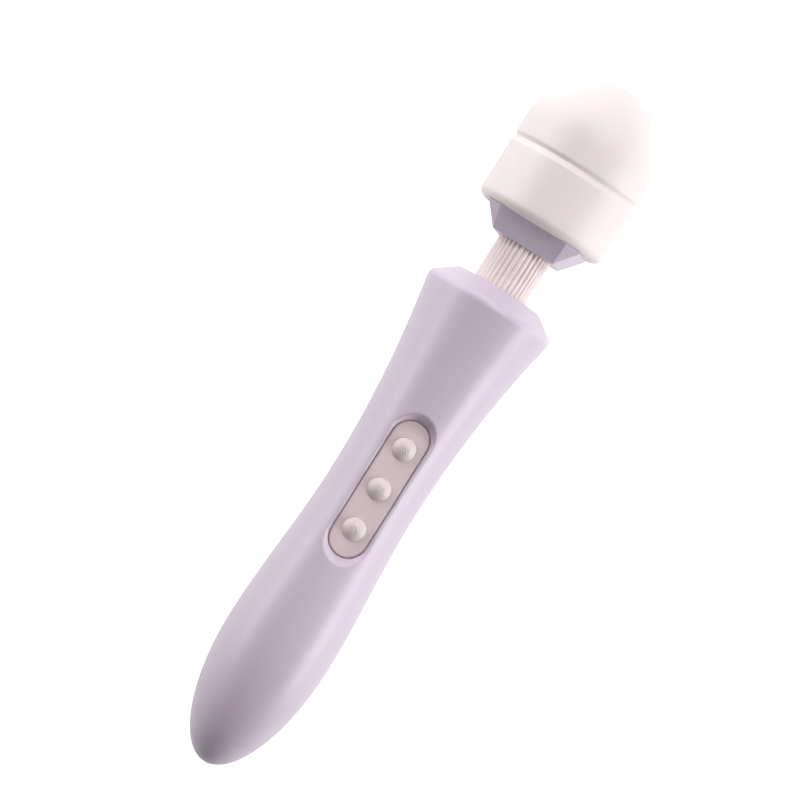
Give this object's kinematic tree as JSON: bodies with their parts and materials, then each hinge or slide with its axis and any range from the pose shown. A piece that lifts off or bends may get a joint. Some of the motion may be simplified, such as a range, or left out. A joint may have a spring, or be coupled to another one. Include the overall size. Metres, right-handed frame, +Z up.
{
  "type": "handheld wand massager",
  "caption": "Cordless wand massager with a domed silicone head on a ribbed flexible neck, a flared soft-touch handle and a sunken keypad of domed buttons.",
  "frame": {"origin": "on the surface below the middle of the wand, which lies on its back with its axis level", "axes": "+Y along the wand towards the head, +Z up out of the keypad, +X across the wand"},
  "size_m": [0.06, 0.3338, 0.06],
  "materials": {
    "handle_lilac": "soft-touch satin coat",
    "collar_lilac": "gloss",
    "head_silicone": "fine matte silicone",
    "neck_silicone": "satin silicone",
    "keypad_beige": "satin",
    "button_grey": "satin silicone",
    "carrier_plastic": "moulded",
    "board_green": "solder mask",
    "black_plastic": "moulded",
    "steel": "machined",
    "ferrite": "sintered",
    "brass": "drawn",
    "cell_wrap": "shrink-wrapped cell",
    "rubber_dark": "moulded",
    "wire_insulation": "smooth"
  },
  "bodies": {
    "handle": {"handle_front_shell": "handle_lilac", "handle_rear_shell": "handle_lilac", "keypad_panel": "keypad_beige", "keypad_gasket": "rubber_dark", "circuit_board": "board_green", "board_components": "black_plastic", "board_screws": "steel", "tact_switches": "black_plastic", "battery_cells": "cell_wrap", "battery_tabs": "steel", "battery_clamps": "carrier_plastic", "battery_clamp_screws": "steel", "charging_socket": "black_plastic", "socket_contacts": "brass", "socket_wires": "wire_insulation", "battery_wires": "wire_insulation", "motor_wires": "wire_insulation", "neck_lower_seat": "carrier_plastic", "lower_seat_screws": "steel"},
    "neck": {"neck_sleeve": "neck_silicone", "neck_spring": "steel"},
    "head": {"neck_upper_seat": "carrier_plastic", "upper_seat_screws": "steel", "head_collar": "collar_lilac", "head_cap": "head_silicone", "motor_carrier_front": "carrier_plastic", "motor_carrier_rear": "carrier_plastic", "carrier_screws": "steel", "motor_can": "steel", "motor_end_cap": "black_plastic", "motor_bearing": "brass", "motor_magnets": "ferrite", "motor_terminals": "brass", "motor_dampers": "rubber_dark"},
    "rotor": {"motor_shaft": "steel", "motor_armature": "steel", "eccentric_weight": "steel"},
    "upper_button": {"button_upper": "button_grey", "switch_plunger_upper": "black_plastic"},
    "middle_button": {"button_middle": "button_grey", "switch_plunger_middle": "black_plastic"},
    "lower_button": {"button_lower": "button_grey", "switch_plunger_lower": "black_plastic"}
  },
  "joints": [
    {"name": "neck_bend_fore_aft", "type": "hinge", "parent": "handle", "child": "neck", "pos_m": [0, 0.07695, 0.03], "axis": [1, 0, 0], "range_deg": [-25, 25], "stiffness_Nm_per_rad": 2.5, "deforming": ["neck_sleeve", "neck_spring", "motor_wires"]},
    {"name": "neck_bend_sideways", "type": "hinge", "parent": "neck", "child": "head", "pos_m": [0, 0.07695, 0.03], "axis": [0, 0, 1], "range_deg": [-25, 25], "stiffness_Nm_per_rad": 2.5, "deforming": ["neck_sleeve", "neck_spring", "motor_wires"]},
    {"name": "motor_spin", "type": "hinge", "parent": "head", "child": "rotor", "pos_m": [0, 0.1423, 0.03], "axis": [0, 1, 0], "continuous": true},
    {"name": "upper_button_press", "type": "slide", "parent": "handle", "child": "upper_button", "axis": [0, 0, -1], "range_m": [0, 0.0008], "stiffness_N_per_m": 1500},
    {"name": "middle_button_press", "type": "slide", "parent": "handle", "child": "middle_button", "axis": [0, 0, -1], "range_m": [0, 0.0008], "stiffness_N_per_m": 1500},
    {"name": "lower_button_press", "type": "slide", "parent": "handle", "child": "lower_button", "axis": [0, 0, -1], "range_m": [0, 0.0008], "stiffness_N_per_m": 1500}
  ]
}
